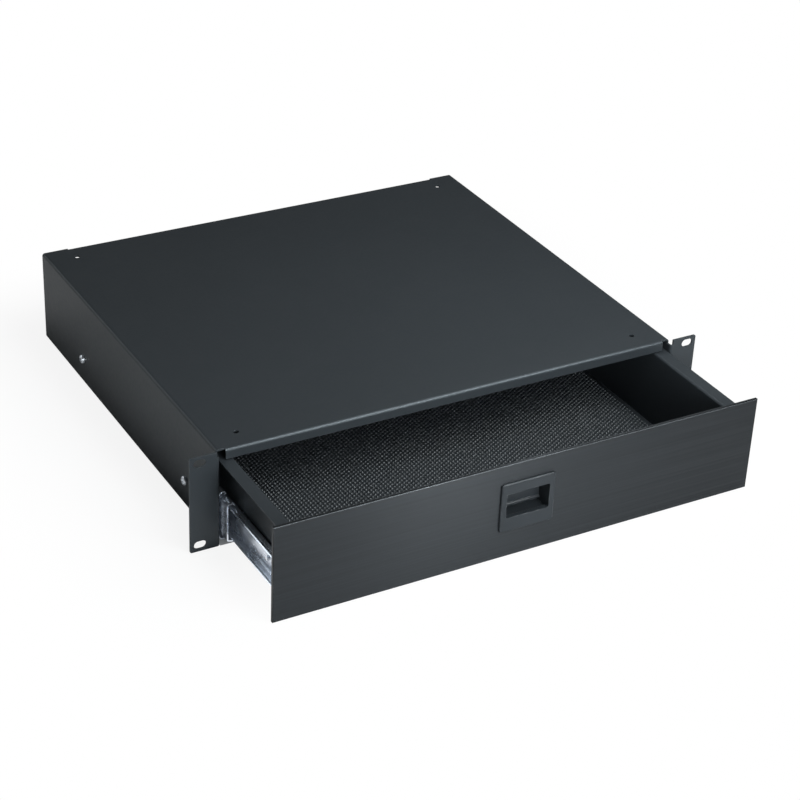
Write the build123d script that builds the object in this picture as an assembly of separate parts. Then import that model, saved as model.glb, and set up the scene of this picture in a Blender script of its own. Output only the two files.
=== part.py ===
"""Two-unit sliding rack drawer: a folded steel chassis with rack ears, a drawer box on a pair of
three-member ball slides, and a thick aluminium face with a recessed paddle latch.

Millimetres, +Z up, the drawer opens towards -Y. The origin is the middle of the four rack slots,
on the front plane of the ears. The drawer stands part way open.
"""
from build123d import *
from math import cos, pi, radians, sin, sqrt
import os

os.makedirs("parts", exist_ok=True)

# Rack interface
rack_unit = 44.45
unit_count = 2
panel_shortfall = 0.8
panel_width = 482.6
slot_to_panel_end = 8.75
slot_to_unit_edge = 6.35
slot_length = 10.8
slot_height = 7.1
ear_corner = 1.5

# Chassis
chassis_sheet = 1.5
chassis_bend = 2.5
ear_width = 24.7
chassis_top_drop = 1.1
chassis_depth = 384.0
bottom_flange = 12.0
bottom_flange_setback = 14.0
lip_setback = 3.0
lip_height = 9.0
lip_end_gap = 8.0
corner_relief = 4.0
rear_flange_height = 9.0
rear_flange_end_gap = 24.5
flange_overlap = 20.0
top_hole_radius = 2.4
top_hole_inset = 26.6
top_hole_front = 24.0
top_hole_rear = 19.0

# Rear brace
brace_sheet = 1.5
brace_foot = 22.0
brace_rise = 12.0
brace_rear_gap = 3.0
brace_end_gap = 0.3

# Ball slides
slide_thickness = 12.7
slide_height = 45.7
slide_setback = 4.5
slide_rear_gap = 29.5
slide_lift = 0.4
rail_sheet = 1.2
rail_bend = 1.4
corner_bend = 1.2
outer_ball_radius = 2.0
inner_ball_radius = 1.75
ball_play = 0.05
raceway_lean = 30.0
outer_wrap = 140.0
intermediate_hook = 10.0
drawer_rail_hook = 45.0
cage_sheet = 0.5
cage_gap = 0.35
cage_bend = 0.9
outer_cage_drop = 0.6
inner_cage_drop = 0.55
cage_margin = 0.6
cage_length = 150.0
row_ball_count = 5
pocket_flat_count = 8
intermediate_setback = 1.0
intermediate_rear_gap = 8.0
access_hole_radius = 5.0
rail_slot_length = 14.0
rail_slot_width = 5.0
rail_slot_spacing = 112.0
bumper_length = 7.0
bumper_height = 18.0
bumper_thickness = 6.5
bumper_gap = 0.5
bumper_corner = 1.5
stop_length = 3.0
stop_width = 5.0
stop_spread = 7.0
stop_gap = 0.3
stop_draft = 20.0

# Slide travel
full_travel = 350.0
open_at_rest = 109.0
intermediate_open_at_rest = 13.0

# Screws
fastener_flat_count = 12
screw_radius = 1.95
screw_play = 0.05
screw_head_radius = 4.0
screw_head_height = 2.6
screw_head_edge = 1.0
screw_hole_radius = 2.25
low_head_radius = 3.6
low_head_height = 1.9
low_head_edge = 1.2
chassis_screw_front = 60.5
chassis_screw_rear = 65.5
drawer_screw_front = 40.5
drawer_screw_rear = 39.5

# Drawer box
drawer_sheet = 1.2
drawer_bend = 2.2
drawer_rear_gap = 16.5
drawer_floor_gap = 7.0
drawer_lip_gap = 1.0
drawer_flange_gap = 1.5
rear_hem = 8.0
floor_mat_thickness = 3.0
mat_side_gap = 1.5
mat_end_gap = 1.5
mat_corner = 2.0

# Face
face_thickness = 3.0
face_overhang = 6.9
face_floor_gap = 0.4
face_gap = 0.5
face_chamfer = 0.4
stud_radius = 2.0
stud_play = 0.25
stud_reach = 9.0
stud_inset_x = 22.4
stud_inset_z = 12.25
nut_across_flats = 7.0
nut_height = 3.2
nut_washer_radius = 4.5
nut_washer_height = 0.9

# Latch
bezel_width = 50.0
bezel_height = 45.0
bezel_proud = 2.0
bezel_corner = 2.5
bezel_edge = 0.7
bezel_bottom = 25.5
window_width = 40.0
window_height = 22.5
window_rise = 13.0
window_corner = 1.5
window_rim = 2.0
cup_wall = 2.0
cup_ceiling_wall = 1.5
cup_floor_drop = 1.5
cup_depth = 15.1
cup_back = 1.9
cup_fit = 0.3
barrel_radius = 2.2
barrel_gap = 0.3
pivot_rise = 0.5
pivot_depth = 12.0
paddle_side_gap = 0.4
paddle_thickness = 2.4
paddle_back_gap = 0.3
paddle_floor_gap = 2.5
paddle_lip_radius = 1.8
paddle_pull = 30.0
pin_radius = 1.0
pin_hold = 0.02
pin_play = 0.05
arm_reach = 7.5
arm_width = 6.0
arm_thickness = 1.6
arm_tip_radius = 1.2
arm_rest_gap = 0.3
arm_slot_gap = 0.9
bolt_gap = 0.4
bolt_width = 11.6
bolt_depth = 4.5
bolt_play = 0.2
bolt_clear = 3.0
bolt_crown = 1.0
bolt_shoulder = 2.0
bolt_foot_height = 48.0
bolt_lost_motion = 0.6
shoulder_gap = 0.2
guide_wall = 1.8
guide_floor = 37.6
spring_wire = 0.25
spring_radius = 1.6
spring_turn_count = 4
length_count_per_turn = 12
wire_flat_count = 6
snap_reach = 1.2
snap_length = 4.0
snap_height = 9.0
snap_gap = 0.05

# Heights and depths worked out from the sizes above
ear_height = unit_count * rack_unit - panel_shortfall
slot_span = panel_width - 2 * slot_to_panel_end
slot_rows = unit_count * rack_unit - 2 * slot_to_unit_edge
chassis_width = panel_width - 2 * ear_width
chassis_height = ear_height - chassis_top_drop
base_z = -ear_height / 2
top_z = base_z + chassis_height
half_width = chassis_width / 2
wall_x = half_width - chassis_sheet
lip_bottom_z = top_z - lip_height
lip_back_y = lip_setback + chassis_sheet
slide_z = base_z + chassis_sheet + slide_lift + slide_height / 2
slide_rear_y = chassis_depth - slide_rear_gap
slide_length = slide_rear_y - slide_setback
cage_front_y = slide_setback + (slide_length - cage_length) / 2
chassis_screw_places = (slide_setback + chassis_screw_front, slide_rear_y - chassis_screw_rear)
drawer_screw_places = (slide_setback + drawer_screw_front, slide_rear_y - drawer_screw_rear)

drawer_half = wall_x - slide_thickness
drawer_floor_z = base_z + chassis_sheet + drawer_floor_gap
drawer_top_z = lip_bottom_z - drawer_lip_gap
flange_x = wall_x - drawer_flange_gap
drawer_front_y = -face_gap
drawer_rear_y = chassis_depth - drawer_rear_gap
wall_back_y = drawer_front_y + drawer_sheet
face_front_y = drawer_front_y - face_thickness
face_z = base_z + face_floor_gap
face_width = chassis_width + 2 * face_overhang
face_height = chassis_height - face_floor_gap

# Middle lines of the slide's rolled sections: u runs from the chassis wall to the drawer wall,
# and w up from the slide's centre. The outer balls turn at (outer_u, outer_w), the inner ones
# at (inner_u, inner_w), each in a raceway that keeps ball_play all round.
outer_race = outer_ball_radius + ball_play + rail_sheet / 2
inner_race = inner_ball_radius + ball_play + rail_sheet / 2
intermediate_u = rail_sheet + 2 * cage_gap + cage_sheet + rail_sheet / 2
outer_u = intermediate_u + rail_bend
outer_w = slide_height / 2 - rail_sheet / 2 - outer_race
inner_u = outer_u + (outer_race + inner_race) * sin(radians(raceway_lean))
inner_w = outer_w - (outer_race + inner_race) * cos(radians(raceway_lean))
drawer_rail_u = slide_thickness - rail_sheet / 2
outer_web_face = rail_sheet
intermediate_outer_face = intermediate_u - rail_sheet / 2
intermediate_inner_face = intermediate_u + rail_sheet / 2
drawer_web_face = drawer_rail_u - rail_sheet / 2

# Where the stops bear: a cage rolls half as far as the rail that it carries
cage_reach = full_travel / 4
front_stop_y = cage_front_y - cage_reach - stop_gap - stop_length / 2
rear_stop_y = cage_front_y + cage_length + stop_gap + stop_length / 2
travel_stop_front_y = cage_front_y + cage_length + cage_reach + stop_gap

# Latch heights and depths
bezel_z = base_z + bezel_bottom
window_bottom_z = bezel_z + window_rise
window_top_z = window_bottom_z + window_height
cup_half = window_width / 2 + cup_wall
cup_floor_z = window_bottom_z - cup_floor_drop
pivot_z = window_top_z + pivot_rise
pivot_y = face_front_y + pivot_depth
cup_ceiling_z = pivot_z + barrel_radius + barrel_gap
cup_back_y = face_front_y + cup_depth
cup_rear_y = cup_back_y + cup_back
cup_bottom_z = cup_floor_z - cup_wall
cup_top_z = cup_ceiling_z + cup_ceiling_wall
arm_tip_y = pivot_y + arm_reach
bolt_travel = arm_reach * radians(paddle_pull)
bolt_front_y = lip_back_y + bolt_gap
shank_front_y = arm_tip_y - arm_tip_radius - bolt_lost_motion
shank_rear_y = shank_front_y + bolt_depth
bolt_tip_z = lip_bottom_z + bolt_clear
shoulder_z = cup_top_z + bolt_travel + shoulder_gap
shank_foot_z = base_z + bolt_foot_height
guide_floor_z = base_z + guide_floor


def along_y(section, start, end):
    """A section drawn in X and Z, run from one depth to another."""
    return extrude(Plane.XZ.offset(-start) * section, end - start, dir=(0, 1, 0))


def across_x(section, start, end):
    """A section drawn in Y and Z, run from one side to the other."""
    return extrude(Plane.YZ.offset(start) * section, end - start, dir=(1, 0, 0))


def up_z(section, start, end):
    """A section drawn in X and Y, raised from one height to another."""
    return extrude(Plane.XY.offset(start) * section, end - start, dir=(0, 0, 1))


def box_between(low, high):
    """A box given by two opposite corners."""
    size = [b - a for a, b in zip(low, high)]
    middle = [(a + b) / 2 for a, b in zip(low, high)]
    return Pos(*middle) * Box(*size)


def folded(corners, sheet, radii, side):
    """The section of a folded sheet: one face follows the corners, the sheet lies on its side."""
    path = FilletPolyline(*corners, radius=radii)
    return make_face(path.wire().offset_2d(sheet, side=side, closed=True).edges())


def rod_x(radius, y, z, start, end):
    """A round bar along X."""
    return Pos((start + end) / 2, y, z) * Rot(0, 90, 0) * Cylinder(radius, abs(end - start))


def rod_y(radius, x, z, start, end):
    """A round bar along Y."""
    return Pos(x, (start + end) / 2, z) * Rot(90, 0, 0) * Cylinder(radius, abs(end - start))


def rod_z(radius, x, y, start, end):
    """A round bar along Z."""
    return Pos(x, y, (start + end) / 2) * Cylinder(radius, abs(end - start))


def both_sides(shape):
    """A shape and its mirror image across the middle of the drawer."""
    return [shape, mirror(shape, Plane.YZ)]


def opened(shape):
    """Moves a piece of the shut drawer to where it stands part way open."""
    return Pos(0, -open_at_rest, 0) * shape


def part_opened(shape, travel):
    """Moves a piece of the shut slide forward by its own share of the travel."""
    return Pos(0, -travel, 0) * shape


# Chassis


def ear():
    """Right ear: a plate folded out of the side wall, with two rack slots."""
    flat_x = wall_x + chassis_bend
    panel_half = panel_width / 2
    plate = Pos((flat_x + panel_half) / 2, 0) * Rectangle(panel_half - flat_x, ear_height)
    outer_corners = plate.vertices().group_by(Axis.X)[-1]
    plate = fillet(outer_corners, ear_corner)
    for row in (-1, 1):
        slot = SlotOverall(slot_length, slot_height)
        plate -= Pos(slot_span / 2, row * slot_rows / 2) * slot
    bend_corners = [(wall_x, 2 * chassis_bend), (wall_x, 0), (flat_x + chassis_sheet, 0)]
    bend = folded(bend_corners, chassis_sheet, chassis_bend, Side.LEFT)
    return along_y(plate, 0, chassis_sheet) + up_z(bend, base_z, top_z - corner_relief)


def chassis_wrap():
    """Side walls, top and in-turned bottom flanges, folded from one sheet."""
    corners = [
        (-half_width + bottom_flange, base_z),
        (-half_width, base_z),
        (-half_width, top_z),
        (half_width, top_z),
        (half_width, base_z),
        (half_width - bottom_flange, base_z),
    ]
    section = folded(corners, chassis_sheet, chassis_bend, Side.RIGHT)
    wrap = along_y(section, chassis_bend, chassis_depth)
    front_y = lip_setback + chassis_bend
    wrap -= box_between((-half_width, 0, top_z - corner_relief), (half_width, front_y, top_z))
    wrap -= box_between((-wall_x, 0, base_z), (wall_x, bottom_flange_setback, slide_z))
    rear_half = half_width - rear_flange_end_gap
    wrap -= box_between(
        (-rear_half, chassis_depth - chassis_bend, top_z - chassis_sheet),
        (rear_half, chassis_depth, top_z),
    )
    return wrap


def chassis_lips():
    """Front lip and rear flange, folded down from the top."""
    front = [
        (lip_setback + flange_overlap, top_z),
        (lip_setback, top_z),
        (lip_setback, lip_bottom_z),
    ]
    rear = [
        (chassis_depth - flange_overlap, top_z),
        (chassis_depth, top_z),
        (chassis_depth, top_z - rear_flange_height),
    ]
    lip_half = half_width - lip_end_gap
    rear_half = half_width - rear_flange_end_gap
    lip = across_x(folded(front, chassis_sheet, chassis_bend, Side.LEFT), -lip_half, lip_half)
    flange = across_x(folded(rear, chassis_sheet, chassis_bend, Side.RIGHT), -rear_half, rear_half)
    return lip, flange


def chassis_shell():
    """The folded chassis with its ears, lips and holes."""
    shell = chassis_wrap()
    for piece in (*both_sides(ear()), *chassis_lips()):
        shell += piece
    for side in (-1, 1):
        for y in (top_hole_front, chassis_depth - top_hole_rear):
            x = side * (half_width - top_hole_inset)
            shell -= rod_z(top_hole_radius, x, y, top_z - 2 * chassis_sheet, top_z + chassis_sheet)
        for y in chassis_screw_places:
            shell -= rod_x(screw_hole_radius, y, slide_z, side * drawer_half, side * panel_width / 2)
    return shell


# Rear brace


def rear_brace():
    """An angle spot welded to the bottom flanges, which ties the two side walls at the back."""
    foot_z = base_z + chassis_sheet
    rear_y = chassis_depth - brace_rear_gap
    corners = [(rear_y - brace_foot, foot_z), (rear_y, foot_z), (rear_y, foot_z + brace_rise)]
    half = half_width - chassis_bend - brace_end_gap
    return across_x(folded(corners, brace_sheet, chassis_bend, Side.LEFT), -half, half)


# Ball slides, drawn for the left side


def rail_section(half_lines, web_u, web_w):
    """A rolled section: the web between its two bends, and the same lines above and below."""
    upper = Curve() + half_lines
    lines = upper + mirror(upper, Plane.XZ) + Line((web_u, -web_w), (web_u, web_w))
    return Pos(-wall_x, slide_z) * trace(lines, rail_sheet)


def outer_rail_section():
    """Channel on the chassis wall: sloped corners and raceways that hook over the outer balls."""
    web_u = rail_sheet / 2
    slope = outer_wrap - 90
    start = (
        outer_u + outer_race * cos(radians(outer_wrap)),
        outer_w + outer_race * sin(radians(outer_wrap)),
    )
    bend_end_u = web_u + corner_bend + corner_bend * cos(radians(outer_wrap))
    rise = (start[0] - bend_end_u) * sin(radians(slope)) / cos(radians(slope))
    bend_end = (bend_end_u, start[1] - rise)
    web_w = bend_end[1] - corner_bend * sin(radians(outer_wrap))
    lines = [
        CenterArc((web_u + corner_bend, web_w), corner_bend, outer_wrap, 180 - outer_wrap),
        Line(bend_end, start),
        CenterArc((outer_u, outer_w), outer_race, 0, outer_wrap),
    ]
    return rail_section(lines, web_u, web_w)


def intermediate_rail_section():
    """Middle channel: a groove under the outer balls that rolls over into one above the inner."""
    web_w = outer_w - outer_race - rail_bend
    lean = 90 - raceway_lean
    lines = [
        CenterArc((outer_u, web_w), rail_bend, 90, 90),
        CenterArc((outer_u, outer_w), outer_race, -90, raceway_lean),
        CenterArc((inner_u, inner_w), inner_race, intermediate_hook, 180 - lean - intermediate_hook),
    ]
    return rail_section(lines, intermediate_u, web_w)


def drawer_rail_section():
    """Channel on the drawer wall: flanges that hook under the inner balls."""
    reach = inner_race + corner_bend
    crest_u = inner_u + reach * sin(radians(raceway_lean))
    crest_w = inner_w - reach * cos(radians(raceway_lean))
    flange_w = crest_w + corner_bend
    web_w = flange_w - rail_bend
    hook_start = -90 - drawer_rail_hook
    lines = [
        CenterArc((drawer_rail_u - rail_bend, web_w), rail_bend, 0, 90),
        Line((drawer_rail_u - rail_bend, flange_w), (crest_u, flange_w)),
        CenterArc((crest_u, crest_w), corner_bend, 90, raceway_lean),
        CenterArc((inner_u, inner_w), inner_race, hook_start, drawer_rail_hook + raceway_lean),
    ]
    return rail_section(lines, drawer_rail_u, web_w)


def slotted(rail, low_u, high_u):
    """Cuts the two spare mounting slots through a rail's web."""
    middle_y = (slide_setback + slide_rear_y) / 2
    for side in (-1, 1):
        place = Pos(middle_y + side * rail_slot_spacing / 2, slide_z)
        slot = place * Rectangle(rail_slot_length, rail_slot_width)
        rail -= across_x(slot, low_u - wall_x, high_u - wall_x)
    return rail


def pressed_stop(face_u, way, middle_y, lift):
    """A stop pressed out of a rail's web, high enough to catch the web of a cage."""
    middle = (face_u - wall_x, middle_y, slide_z + lift)
    foot = Plane(origin=middle, x_dir=(0, 1, 0), z_dir=(way, 0, 0)) * Rectangle(stop_length, stop_width)
    return extrude(foot, cage_gap + cage_sheet, taper=stop_draft)


def cage_stops(face_u):
    """Stops that end a cage's roll: one at the front, two at the rear that let a tab pass between."""
    rear = [pressed_stop(face_u, 1, rear_stop_y, side * stop_spread) for side in (-1, 1)]
    return [pressed_stop(face_u, 1, front_stop_y, 0), *rear]


def outer_rail():
    """Rail screwed to the chassis wall, with the stops of its cage."""
    rail = along_y(outer_rail_section(), slide_setback, slide_rear_y)
    for stop in cage_stops(outer_web_face):
        rail += stop
    for y in chassis_screw_places:
        rail -= rod_x(screw_radius + screw_play, y, slide_z, -wall_x - 1, -wall_x + 2 * rail_sheet)
    return slotted(rail, -1, 2 * rail_sheet)


def intermediate_rail():
    """Middle rail, with its stops and a hole that bares the drawer's rear screw when full out."""
    front_y = slide_setback + intermediate_setback
    rail = along_y(intermediate_rail_section(), front_y, slide_rear_y - intermediate_rear_gap)
    for stop in cage_stops(intermediate_inner_face):
        rail += stop
    rail += pressed_stop(intermediate_outer_face, -1, travel_stop_front_y + stop_length / 2, 0)
    hole_y = drawer_screw_places[-1] - full_travel / 2
    return rail - rod_x(access_hole_radius, hole_y, slide_z, -wall_x, -wall_x + inner_u)


def bent_stop():
    """Tab bent out of the drawer rail's web, and the window that it leaves behind it."""
    tip_u = intermediate_inner_face + cage_gap
    rear_y = travel_stop_front_y + rail_sheet
    low_z, high_z = slide_z - stop_width / 2, slide_z + stop_width / 2
    tab = box_between(
        (tip_u - wall_x, travel_stop_front_y, low_z), (drawer_rail_u - wall_x, rear_y, high_z)
    )
    window = box_between(
        (drawer_web_face - wall_x, rear_y, low_z),
        (slide_thickness - wall_x, rear_y + drawer_web_face - tip_u, high_z),
    )
    return tab, window


def drawer_rail():
    """Rail screwed to the drawer wall, with the tab that ends its travel."""
    rail = along_y(drawer_rail_section(), slide_setback, slide_rear_y)
    tab, window = bent_stop()
    rail = rail - window + tab
    web_inner = -drawer_half - 2 * rail_sheet
    for y in drawer_screw_places:
        rail -= rod_x(screw_radius + screw_play, y, slide_z, web_inner, -drawer_half + 1)
    return slotted(rail, slide_thickness - 2 * rail_sheet, slide_thickness + 1)


def ball_places():
    """Depths of the balls along a cage, behind the cage's own front end."""
    pitch = cage_length / row_ball_count
    return [(n + 0.5) * pitch for n in range(row_ball_count)]


def ball_cage(web_u, ball_u, cage_w, ball_radius):
    """Stamped channel with a pocket of eight flats for each ball in its two flanges."""
    tip_u = ball_u + ball_radius + ball_play + cage_margin
    corners = [(tip_u, cage_w), (web_u, cage_w), (web_u, -cage_w), (tip_u, -cage_w)]
    section = folded(corners, cage_sheet, cage_bend, Side.LEFT)
    cage = along_y(Pos(-wall_x, slide_z) * section, cage_front_y, cage_front_y + cage_length)
    outline = RegularPolygon(ball_radius + ball_play, pocket_flat_count, major_radius=False)
    for place in ball_places():
        for row in (-1, 1):
            middle_z = slide_z + row * cage_w
            pocket = up_z(outline, middle_z - ball_radius, middle_z + ball_radius)
            cage -= Pos(ball_u - wall_x, cage_front_y + place) * pocket
    return cage


def outer_cage():
    """Cage between the chassis rail and the middle rail."""
    cage_w = outer_w - outer_cage_drop + cage_sheet / 2
    return ball_cage(rail_sheet + cage_gap, outer_u, cage_w, outer_ball_radius)


def inner_cage():
    """Cage between the middle rail and the drawer rail."""
    cage_w = inner_w - inner_cage_drop + cage_sheet / 2
    web_u = intermediate_inner_face + cage_gap
    return ball_cage(web_u, inner_u, cage_w, inner_ball_radius)


def faceted_ball(radius):
    """A ball of twenty-six flats whose corners lie on the true ball."""
    half = radius / sqrt(1 + 2 * (sqrt(2) - 1) ** 2)
    cube = Box(2 * half, 2 * half, 2 * half)
    return chamfer(cube.edges(), (2 - sqrt(2)) * half)


def ball_set(ball_u, ball_w, radius):
    """All balls of one cage, in its upper and lower row."""
    ball = faceted_ball(radius)
    places = [(cage_front_y + place, row) for place in ball_places() for row in (-1, 1)]
    return [Pos(ball_u - wall_x, y, slide_z + row * ball_w) * ball for y, row in places]


def rear_bumper():
    """Rubber block that stops the middle rail at the back of the chassis rail."""
    front_y = slide_rear_y - intermediate_rear_gap + bumper_gap
    block = box_between(
        (rail_sheet - wall_x, front_y, slide_z - bumper_height / 2),
        (rail_sheet - wall_x + bumper_thickness, front_y + bumper_length, slide_z + bumper_height / 2),
    )
    return chamfer(block.edges().filter_by(Axis.X), bumper_corner)


# Screws


def flat_sided(radius, start, end, taper=0):
    """A small bar along Z drawn with flats, which lie inside its true round."""
    section = Plane.XY.offset(start) * RegularPolygon(radius, fastener_flat_count)
    return extrude(section, end - start, taper=taper)


def screw(head_radius, head_height, head_edge, shank_length):
    """Screw with its seat at the origin, its head along +Z and its shank along -Z."""
    rim = head_height - head_edge
    head = flat_sided(head_radius, 0, rim) + flat_sided(head_radius, rim, head_height, taper=45)
    return head + flat_sided(screw_radius, -shank_length, 0)


def slide_screws(one, seat_x, places):
    """Screws lying across a wall, heads away from the middle of the drawer, on both sides."""
    lying = Rot(0, -90, 0) * one
    return [s for y in places for s in both_sides(Pos(seat_x, y, slide_z) * lying)]


def chassis_slide_screws():
    """Screws from outside the chassis into the two chassis rails."""
    one = screw(screw_head_radius, screw_head_height, screw_head_edge, chassis_sheet + rail_sheet)
    return slide_screws(one, -half_width, chassis_screw_places)


def drawer_slide_screws():
    """Low-headed screws from inside the two drawer rails into the drawer walls."""
    one = screw(low_head_radius, low_head_height, low_head_edge, rail_sheet + drawer_sheet)
    return slide_screws(one, -drawer_half - rail_sheet, drawer_screw_places)


# Drawer


def latch_opening(extra):
    """Outline of the latch cup in X and Z, with clearance around it."""
    width = 2 * (cup_half + extra)
    height = cup_top_z - cup_bottom_z + 2 * extra
    return Pos(0, (cup_top_z + cup_bottom_z) / 2) * Rectangle(width, height)


def stud_places():
    """X and Z of the studs on the back of the face."""
    x = drawer_half - stud_inset_x
    rows = (drawer_floor_z + stud_inset_z, drawer_top_z - stud_inset_z)
    return [(side * x, z) for side in (-1, 1) for z in rows]


def drawer_tray():
    """Floor, walls and out-turned top flanges, folded from one sheet."""
    inner_bend = drawer_bend - drawer_sheet
    under_z = drawer_top_z - drawer_sheet
    corners = [
        (-flange_x, under_z),
        (-drawer_half, under_z),
        (-drawer_half, drawer_floor_z),
        (drawer_half, drawer_floor_z),
        (drawer_half, under_z),
        (flange_x, under_z),
    ]
    bends = [inner_bend, drawer_bend, drawer_bend, inner_bend]
    return along_y(folded(corners, drawer_sheet, bends, Side.LEFT), drawer_front_y, drawer_rear_y)


def drawer_box():
    """The drawer's sheet box, open at the top."""
    tray = drawer_tray()
    inside = drawer_half - drawer_sheet / 2
    low_z = drawer_floor_z + drawer_sheet / 2
    top = drawer_top_z
    tray += box_between((-inside, drawer_front_y, low_z), (inside, wall_back_y, top))
    rear = [
        (drawer_rear_y, low_z),
        (drawer_rear_y, top),
        (drawer_rear_y - rear_hem, top),
    ]
    tray += across_x(folded(rear, drawer_sheet, drawer_bend, Side.LEFT), -inside, inside)
    tray -= along_y(latch_opening(cup_fit), drawer_front_y - 1, wall_back_y + 1)
    for x, z in stud_places():
        tray -= rod_y(stud_radius + stud_play, x, z, drawer_front_y - 1, wall_back_y + 1)
    for side in (-1, 1):
        for y in drawer_screw_places:
            outside, within = side * (drawer_half + 1), side * (drawer_half - 2 * drawer_sheet)
            tray -= rod_x(screw_radius + screw_play, y, slide_z, outside, within)
    return tray


def drawer_mat():
    """Rubber mat on the drawer floor."""
    width = 2 * (drawer_half - drawer_sheet - mat_side_gap)
    length = drawer_rear_y - drawer_front_y - 2 * drawer_sheet - 2 * mat_end_gap
    outline = Pos(0, (drawer_front_y + drawer_rear_y) / 2) * RectangleRounded(width, length, mat_corner)
    floor_z = drawer_floor_z + drawer_sheet
    return up_z(outline, floor_z, floor_z + floor_mat_thickness)


# Face


def face_panel():
    """Aluminium front plate with its latch opening."""
    plate = box_between(
        (-face_width / 2, face_front_y, face_z),
        (face_width / 2, drawer_front_y, face_z + face_height),
    )
    plate = chamfer(plate.faces().sort_by(Axis.Y)[0].edges(), face_chamfer)
    return plate - along_y(latch_opening(cup_fit), face_front_y - 1, drawer_front_y + 1)


def face_studs():
    """Threaded studs welded to the back of the face."""
    stud = Rot(-90, 0, 0) * flat_sided(stud_radius, 0, stud_reach)
    return [Pos(x, drawer_front_y, z) * stud for x, z in stud_places()]


def face_nuts():
    """Washer nuts that hold the face from inside the drawer."""
    top = nut_washer_height + nut_height
    hexagon = RegularPolygon(nut_across_flats / 2, 6, major_radius=False)
    nut = up_z(hexagon, nut_washer_height, top) + flat_sided(nut_washer_radius, 0, nut_washer_height)
    nut -= flat_sided(stud_radius + screw_play, -1, top + 1)
    return [Pos(x, wall_back_y, z) * Rot(-90, 0, 0) * nut for x, z in stud_places()]


# Latch


def snap_hook():
    """Ramped hook on the cup's right side, which grips behind the drawer's front wall."""
    front_y = wall_back_y + snap_gap
    rear_y = front_y + snap_length
    root_x = cup_half - cup_wall / 2
    outline = [(root_x, front_y), (cup_half + snap_reach, front_y), (cup_half, rear_y), (root_x, rear_y)]
    middle_z = (cup_bottom_z + cup_top_z) / 2
    section = make_face(Polyline(*outline, close=True))
    return up_z(section, middle_z - snap_height / 2, middle_z + snap_height / 2)


def latch_housing():
    """Moulded bezel and cup, with the bolt's guide on its back."""
    middle_z = bezel_z + bezel_height / 2
    front_y = face_front_y - bezel_proud
    outline = Pos(0, middle_z) * RectangleRounded(bezel_width, bezel_height, bezel_corner)
    bezel = along_y(outline, front_y, face_front_y)
    bezel = chamfer(bezel.faces().sort_by(Axis.Y)[0].edges(), bezel_edge)
    cup = box_between((-cup_half, face_front_y, cup_bottom_z), (cup_half, cup_rear_y, cup_top_z))
    guide_half = bolt_width / 2 + bolt_play + guide_wall
    guide_rear_y = shank_rear_y + bolt_play + guide_wall
    guide_bottom_z = guide_floor_z - guide_wall
    guide = box_between((-guide_half, cup_back_y, guide_bottom_z), (guide_half, guide_rear_y, cup_top_z))
    housing = bezel + cup + guide
    rim_y = face_front_y + window_rim
    window = Pos(0, (window_bottom_z + window_top_z) / 2)
    window = window * RectangleRounded(window_width, window_height, window_corner)
    housing -= along_y(window, front_y - 1, rim_y)
    housing -= box_between(
        (-window_width / 2, rim_y, cup_floor_z), (window_width / 2, cup_back_y, cup_ceiling_z)
    )
    slot_half = bolt_width / 2 + bolt_play
    housing -= box_between(
        (-slot_half, shank_front_y - bolt_play, guide_floor_z),
        (slot_half, shank_rear_y + bolt_play, cup_top_z + 1),
    )
    arm_half = arm_width / 2 + arm_slot_gap
    arm_low_z = pivot_z - bolt_travel - arm_tip_radius - arm_slot_gap
    housing -= box_between(
        (-arm_half, cup_back_y - 1, arm_low_z),
        (arm_half, shank_front_y, pivot_z + arm_tip_radius + arm_slot_gap),
    )
    housing -= rod_x(pin_radius + pin_hold, pivot_y, pivot_z, -cup_half - 1, cup_half + 1)
    for hook in both_sides(snap_hook()):
        housing += hook
    return housing


def latch_paddle():
    """Pull paddle: a barrel on the pin, a plate hanging from it, and an arm to the rear."""
    plate_rear_y = cup_back_y - paddle_back_gap
    plate_front_y = plate_rear_y - paddle_thickness
    foot_z = window_bottom_z + paddle_floor_gap
    section = Pos(pivot_y, pivot_z) * Circle(barrel_radius)
    plate_height = pivot_z - foot_z
    plate_middle = ((plate_front_y + plate_rear_y) / 2, (pivot_z + foot_z) / 2)
    section += Pos(*plate_middle) * Rectangle(paddle_thickness, plate_height)
    section += Pos(plate_rear_y - paddle_lip_radius, foot_z) * Circle(paddle_lip_radius)
    half = window_width / 2 - paddle_side_gap
    paddle = across_x(section, -half, half)
    arm = Pos((pivot_y + arm_tip_y) / 2, pivot_z) * Rectangle(arm_reach, arm_thickness)
    arm += Pos(arm_tip_y, pivot_z) * Circle(arm_tip_radius)
    paddle += across_x(arm, -arm_width / 2, arm_width / 2)
    return paddle - rod_x(pin_radius + pin_play, pivot_y, pivot_z, -half - 1, half + 1)


def paddle_pin():
    """Steel pin that the paddle turns on."""
    return rod_x(pin_radius, pivot_y, pivot_z, -cup_half, cup_half)


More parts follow.
